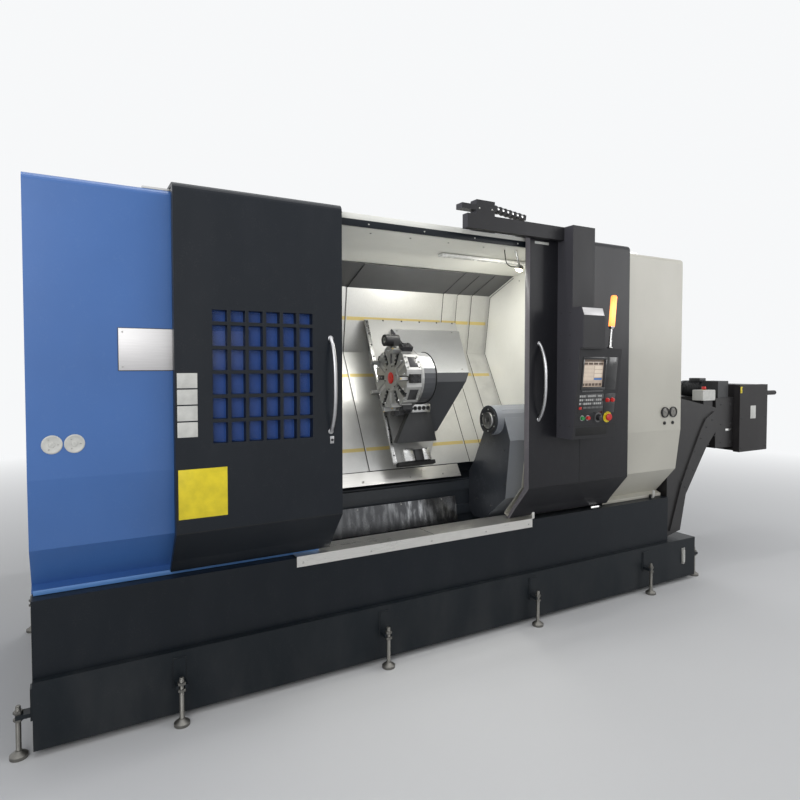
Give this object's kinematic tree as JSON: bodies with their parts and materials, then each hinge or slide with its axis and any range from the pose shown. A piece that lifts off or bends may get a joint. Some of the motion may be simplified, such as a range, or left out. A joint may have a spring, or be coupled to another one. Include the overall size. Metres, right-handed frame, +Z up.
{
  "type": "cnc turning lathe",
  "caption": "Slant-bed CNC lathe with sliding doors, an indexing tool turret behind telescopic way covers, a tailstock, a door-mounted console and a chip conveyor",
  "frame": {"origin": "centre of the bounding box at floor level", "axes": "+X along the spindle towards the tailstock and the conveyor, +Y to the back of the machine, +Z up"},
  "size_m": [5.252, 2.093, 2.488],
  "materials": {
    "blue_paint": "sprayed blue enamel, satin",
    "white_paint": "sprayed warm white enamel, satin",
    "inner_white": "white enamel inside the work area",
    "dark_paint": "textured anthracite enamel",
    "charcoal_paint": "charcoal enamel, satin",
    "stainless": "brushed stainless sheet",
    "ground_steel": "turned and ground steel",
    "cast_iron": "machined and painted casting",
    "tailstock_paint": "grey blue enamel on a casting",
    "black_oxide": "blackened steel",
    "rubber": "ribbed drive belt",
    "glass": "clear laminated pane",
    "red_plastic": "moulded red plastic",
    "white_plastic": "moulded white plastic",
    "black_plastic": "moulded black plastic",
    "amber_lens": "translucent amber lens",
    "motor_grey": "grey enamel on a motor housing"
  },
  "bodies": {
    "machine": {"coolant_tank": "dark_paint", "base_skirt": "dark_paint", "bed_casting": "cast_iron", "feed_motor": "black_oxide", "way_cover_left_fixed": "stainless", "way_cover_right_fixed": "stainless", "left_inner_wall": "inner_white", "right_inner_wall": "inner_white", "chip_deflector": "stainless", "ceiling_panel": "inner_white", "headstock_cover": "blue_paint", "right_cover": "white_paint", "rear_panel": "white_paint", "roof_panel": "inner_white", "roof_rail": "ground_steel", "front_tray": "stainless", "cable_carrier": "charcoal_paint", "headstock": "cast_iron", "spindle_motor": "motor_grey", "drive_belt": "rubber", "conveyor_body": "charcoal_paint", "conveyor_belt": "cast_iron", "chip_chute": "dark_paint", "gear_motor": "motor_grey", "conveyor_control_box": "white_paint", "cabinet_body": "white_paint"},
    "left_door": {"left_door": "dark_paint", "left_window": "glass", "left_handle": "ground_steel"},
    "right_door": {"right_door": "charcoal_paint", "right_handle": "ground_steel", "console_housing": "charcoal_paint", "signal_lamp": "amber_lens"},
    "cycle_start": {"cycle_start_button": "white_plastic"},
    "feed_hold": {"feed_hold_button": "red_plastic"},
    "override": {"override_knob": "black_plastic"},
    "stop_head": {"emergency_stop": "red_plastic"},
    "carriage": {"saddle": "cast_iron", "way_cover_carriage": "stainless", "slide_plate": "stainless"},
    "cover_left_mid": {"way_cover_left_mid": "stainless"},
    "cover_left_end": {"way_cover_left_end": "stainless"},
    "cover_right_mid": {"way_cover_right_mid": "stainless"},
    "cover_right_end": {"way_cover_right_end": "stainless"},
    "cross_slide": {"turret_housing": "stainless"},
    "turret": {"turret_disc": "ground_steel", "boring_bar_holder": "black_oxide"},
    "feed_screw": {"feed_screw": "ground_steel"},
    "spindle": {"spindle": "ground_steel", "chuck_body": "ground_steel"},
    "jaw_1": {"chuck_jaw_1": "ground_steel"},
    "jaw_2": {"chuck_jaw_2": "ground_steel"},
    "jaw_3": {"chuck_jaw_3": "ground_steel"},
    "motor_pulley": {"motor_pulley": "ground_steel"},
    "tailstock": {"tailstock_body": "tailstock_paint"},
    "quill": {"quill": "ground_steel"},
    "conveyor_stop": {"conveyor_stop_button": "red_plastic"},
    "cabinet_door": {"cabinet_door": "white_paint"},
    "main_switch": {"main_switch": "black_plastic"}
  },
  "joints": [
    {"name": "left_door_slide", "type": "slide", "parent": "machine", "child": "left_door", "axis": [1, 0, 0], "range_m": [0, 0.62]},
    {"name": "right_door_slide", "type": "slide", "parent": "machine", "child": "right_door", "axis": [1, 0, 0], "range_m": [-0.53, 0]},
    {"name": "cycle_start_push", "type": "slide", "parent": "right_door", "child": "cycle_start", "axis": [0, -0.9948, -0.1016], "range_m": [-0.004, 0], "stiffness_N_per_m": 1500, "springref_m": 0.001},
    {"name": "feed_hold_push", "type": "slide", "parent": "right_door", "child": "feed_hold", "axis": [0, -0.9948, -0.1016], "range_m": [-0.004, 0], "stiffness_N_per_m": 1500, "springref_m": 0.001},
    {"name": "override_turn", "type": "hinge", "parent": "right_door", "child": "override", "pos_m": [0.283, -0.98386, 1.24807], "axis": [0, -0.9948, -0.1016], "range_deg": [-150, 150]},
    {"name": "emergency_stop_push", "type": "slide", "parent": "right_door", "child": "stop_head", "axis": [0, -0.9948, -0.1016], "range_m": [-0.006, 0]},
    {"name": "carriage_slide", "type": "slide", "parent": "machine", "child": "carriage", "axis": [1, 0, 0], "range_m": [-0.42, 0]},
    {"name": "cover_left_mid_slide", "type": "slide", "parent": "machine", "child": "cover_left_mid", "axis": [1, 0, 0], "range_m": [-0.281, 0]},
    {"name": "cover_left_end_slide", "type": "slide", "parent": "machine", "child": "cover_left_end", "axis": [1, 0, 0], "range_m": [-0.141, 0]},
    {"name": "cover_right_mid_slide", "type": "slide", "parent": "machine", "child": "cover_right_mid", "axis": [1, 0, 0], "range_m": [-0.281, 0]},
    {"name": "cover_right_end_slide", "type": "slide", "parent": "machine", "child": "cover_right_end", "axis": [1, 0, 0], "range_m": [-0.141, 0]},
    {"name": "cross_slide_feed", "type": "slide", "parent": "carriage", "child": "cross_slide", "axis": [0, 0.4067, 0.9135], "range_m": [-0.1, 0.06]},
    {"name": "turret_index", "type": "hinge", "parent": "cross_slide", "child": "turret", "pos_m": [-0.744, -0.36435, 1.47492], "axis": [1, 0, 0], "continuous": true},
    {"name": "feed_screw_turn", "type": "hinge", "parent": "machine", "child": "feed_screw", "pos_m": [-0.544, 0.09258, 1.20269], "axis": [1, 0, 0], "continuous": true},
    {"name": "spindle_turn", "type": "hinge", "parent": "machine", "child": "spindle", "pos_m": [-1.644, -0.4825, 1.209], "axis": [1, 0, 0], "continuous": true},
    {"name": "jaw_1_slide", "type": "slide", "parent": "spindle", "child": "jaw_1", "axis": [0, 0, 1], "range_m": [-0.012, 0]},
    {"name": "jaw_2_slide", "type": "slide", "parent": "spindle", "child": "jaw_2", "axis": [0, -0.866, -0.5], "range_m": [-0.012, 0]},
    {"name": "jaw_3_slide", "type": "slide", "parent": "spindle", "child": "jaw_3", "axis": [0, 0.866, -0.5], "range_m": [-0.012, 0]},
    {"name": "motor_turn", "type": "hinge", "parent": "machine", "child": "motor_pulley", "pos_m": [-2.444, -0.2645, 1.6603], "axis": [1, 0, 0], "continuous": true},
    {"name": "tailstock_slide", "type": "slide", "parent": "machine", "child": "tailstock", "axis": [1, 0, 0], "range_m": [-0.1, 0]},
    {"name": "quill_slide", "type": "slide", "parent": "tailstock", "child": "quill", "axis": [1, 0, 0], "range_m": [-0.1, 0]},
    {"name": "conveyor_stop_push", "type": "slide", "parent": "machine", "child": "conveyor_stop", "axis": [0, 0, 1], "range_m": [-0.004, 0], "stiffness_N_per_m": 1500, "springref_m": 0.001},
    {"name": "cabinet_door_hinge", "type": "hinge", "parent": "machine", "child": "cabinet_door", "pos_m": [0.656, 1.0086, 1.42], "axis": [0, 0, 1], "range_deg": [-110, 0]},
    {"name": "main_switch_turn", "type": "hinge", "parent": "cabinet_door", "child": "main_switch", "pos_m": [-0.344, 1.0355, 1.42], "axis": [0, 1, 0], "range_deg": [-90, 0]}
  ],
  "couplings": [
    {"joint": "cover_left_mid_slide", "follows": "carriage_slide", "ratio": 0.66667},
    {"joint": "cover_left_end_slide", "follows": "carriage_slide", "ratio": 0.33333},
    {"joint": "cover_right_mid_slide", "follows": "carriage_slide", "ratio": 0.66667},
    {"joint": "cover_right_end_slide", "follows": "carriage_slide", "ratio": 0.33333},
    {"joint": "feed_screw_turn", "follows": "carriage_slide", "rad_per_m": 314.16},
    {"joint": "motor_turn", "follows": "spindle_turn", "ratio": 1.5},
    {"joint": "jaw_2_slide", "follows": "jaw_1_slide", "ratio": 1},
    {"joint": "jaw_3_slide", "follows": "jaw_1_slide", "ratio": 1}
  ]
}
